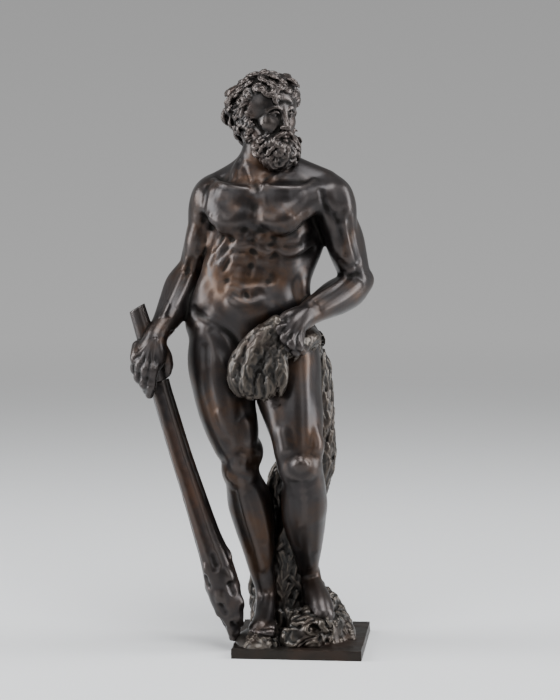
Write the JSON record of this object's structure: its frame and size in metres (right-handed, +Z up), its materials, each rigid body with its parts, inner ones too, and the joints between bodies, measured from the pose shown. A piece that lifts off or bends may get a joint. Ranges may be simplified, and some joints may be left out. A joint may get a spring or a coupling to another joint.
{
  "type": "hercules statue",
  "caption": "Bronze statuette of a standing bearded man with a club and a lion's skin, on a square plate; a display figure.",
  "frame": {"origin": "centre of the plate's underside", "axes": "+Z up the statue, -Y the plate's front, +X to the viewer's right as they face it"},
  "size_m": [0.1737, 0.0991, 0.4208],
  "materials": {
    "bronze_casting": "dark brown patinated bronze with a worn, warm brown lacquer, glossy",
    "bronze_club": "dark brown patinated bronze, glossy, worn brighter on its knots"
  },
  "bodies": {
    "root": {"figure": "bronze_casting", "club": "bronze_club"}
  },
  "joints": []
}
